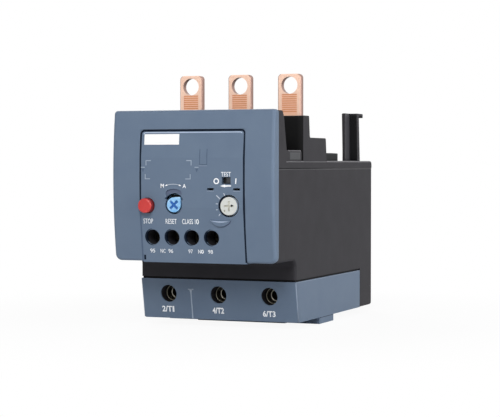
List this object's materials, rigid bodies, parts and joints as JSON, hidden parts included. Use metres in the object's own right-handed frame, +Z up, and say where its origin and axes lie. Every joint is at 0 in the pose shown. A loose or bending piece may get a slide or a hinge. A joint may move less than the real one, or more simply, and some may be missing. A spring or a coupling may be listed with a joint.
{
  "type": "thermal overload relay",
  "caption": "Three-pole thermal overload relay for direct mounting under a contactor, with setting dial, reset, stop and test controls and box terminals.",
  "frame": {"origin": "centre of the bounding box in X and Y, at the underside of the foot", "axes": "+Z up towards the contactor, +Y to the rear, controls face -Y, +X to the right seen from the front"},
  "size_m": [0.07, 0.1272, 0.1045],
  "materials": {
    "cover_grey": "moulded polyamide, fine matt texture",
    "housing_black": "moulded glass-filled polyamide, matt",
    "frame_black": "moulded, matt",
    "red_plastic": "moulded, satin",
    "blue_plastic": "moulded, satin",
    "dial_white": "moulded, satin",
    "slider_dark": "moulded, matt",
    "natural_plastic": "moulded, matt",
    "copper": "blanked and stamped copper",
    "silver_contact": "silver-faced bronze strip",
    "heater_alloy": "resistance ribbon",
    "bimetal_strip": "rolled bimetal",
    "zinc_steel": "zinc-plated steel",
    "spring_steel": "drawn spring wire"
  },
  "bodies": {
    "housing": {"main_housing": "housing_black", "top_cover": "housing_black", "aux_block": "housing_black", "terminal_carrier": "housing_black", "terminal_cover": "cover_grey", "front_cover": "cover_grey", "control_panel": "cover_grey", "stop_spring": "spring_steel", "reset_spring": "spring_steel", "test_spring": "spring_steel", "mechanism_frame": "frame_black", "frame_screws": "zinc_steel", "aux_screws": "zinc_steel", "aux_clamps": "zinc_steel", "contact_rail_95": "silver_contact", "contact_rail_96": "silver_contact", "contact_rail_97": "silver_contact", "contact_rail_98": "silver_contact", "pin_1": "copper", "busbar_1": "copper", "heater_1": "heater_alloy", "bimetal_1": "bimetal_strip", "box_terminal_1": "zinc_steel", "terminal_screw_1": "zinc_steel", "pin_2": "copper", "busbar_2": "copper", "heater_2": "heater_alloy", "bimetal_2": "bimetal_strip", "box_terminal_2": "zinc_steel", "terminal_screw_2": "zinc_steel", "pin_3": "copper", "busbar_3": "copper", "heater_3": "heater_alloy", "bimetal_3": "bimetal_strip", "box_terminal_3": "zinc_steel", "terminal_screw_3": "zinc_steel"},
    "stop_button": {"stop_button": "red_plastic"},
    "mode_cam": {"mode_cam": "natural_plastic"},
    "reset_button": {"reset_button": "blue_plastic"},
    "setting_dial": {"setting_dial": "dial_white", "setting_cam": "natural_plastic"},
    "adjusting_lever": {"adjusting_lever": "natural_plastic", "compensation_strip": "bimetal_strip"},
    "test_slide": {"test_slide": "slider_dark"},
    "trip_slide": {"trip_slide": "natural_plastic", "differential_lever": "natural_plastic"},
    "differential_slide": {"differential_slide": "natural_plastic"},
    "trip_lever": {"trip_lever": "natural_plastic"},
    "contact_carrier": {"contact_carrier": "natural_plastic", "nc_bridge": "silver_contact", "no_bridge": "silver_contact"}
  },
  "joints": [
    {"name": "stop_press", "type": "slide", "parent": "housing", "child": "stop_button", "axis": [0, 1, 0], "range_m": [0, 0.0025], "stiffness_N_per_m": 400, "deforming": ["stop_spring"]},
    {"name": "reset_turn", "type": "hinge", "parent": "housing", "child": "mode_cam", "pos_m": [-0.00775, -0.0484, 0.05075], "axis": [0, 1, 0], "range_deg": [-80, 0]},
    {"name": "reset_press", "type": "slide", "parent": "mode_cam", "child": "reset_button", "axis": [0, 1, 0], "range_m": [0, 0.0025], "stiffness_N_per_m": 400, "deforming": ["reset_spring"]},
    {"name": "dial_turn", "type": "hinge", "parent": "housing", "child": "setting_dial", "pos_m": [0.016, -0.0444, 0.0505], "axis": [0, 1, 0], "range_deg": [0, 105]},
    {"name": "adjust_follow", "type": "hinge", "parent": "housing", "child": "adjusting_lever", "pos_m": [0.004, -0.0534, 0.056], "axis": [0, 1, 0], "range_deg": [-6.5, 0.5]},
    {"name": "test_push", "type": "slide", "parent": "housing", "child": "test_slide", "axis": [-1, 0, 0], "range_m": [0, 0.0015], "stiffness_N_per_m": 250, "deforming": ["test_spring"]},
    {"name": "trip_travel", "type": "slide", "parent": "housing", "child": "trip_slide", "axis": [1, 0, 0], "range_m": [0, 0.00125]},
    {"name": "differential_travel", "type": "slide", "parent": "housing", "child": "differential_slide", "axis": [1, 0, 0], "range_m": [0, 0.00135]},
    {"name": "trip_turn", "type": "hinge", "parent": "housing", "child": "trip_lever", "pos_m": [0.014, -0.0334, 0.055], "axis": [0, 1, 0], "range_deg": [-0.5, 10]},
    {"name": "contact_lift", "type": "slide", "parent": "housing", "child": "contact_carrier", "axis": [0, 0, 1], "range_m": [0, 0.0019]}
  ],
  "couplings": [
    {"joint": "adjust_follow", "follows": "dial_turn", "ratio": -0.054583},
    {"joint": "differential_travel", "follows": "trip_travel", "ratio": 1},
    {"joint": "trip_turn", "follows": "trip_travel", "rad_per_m": 131.25},
    {"joint": "contact_lift", "follows": "trip_travel", "ratio": 1.44}
  ]
}
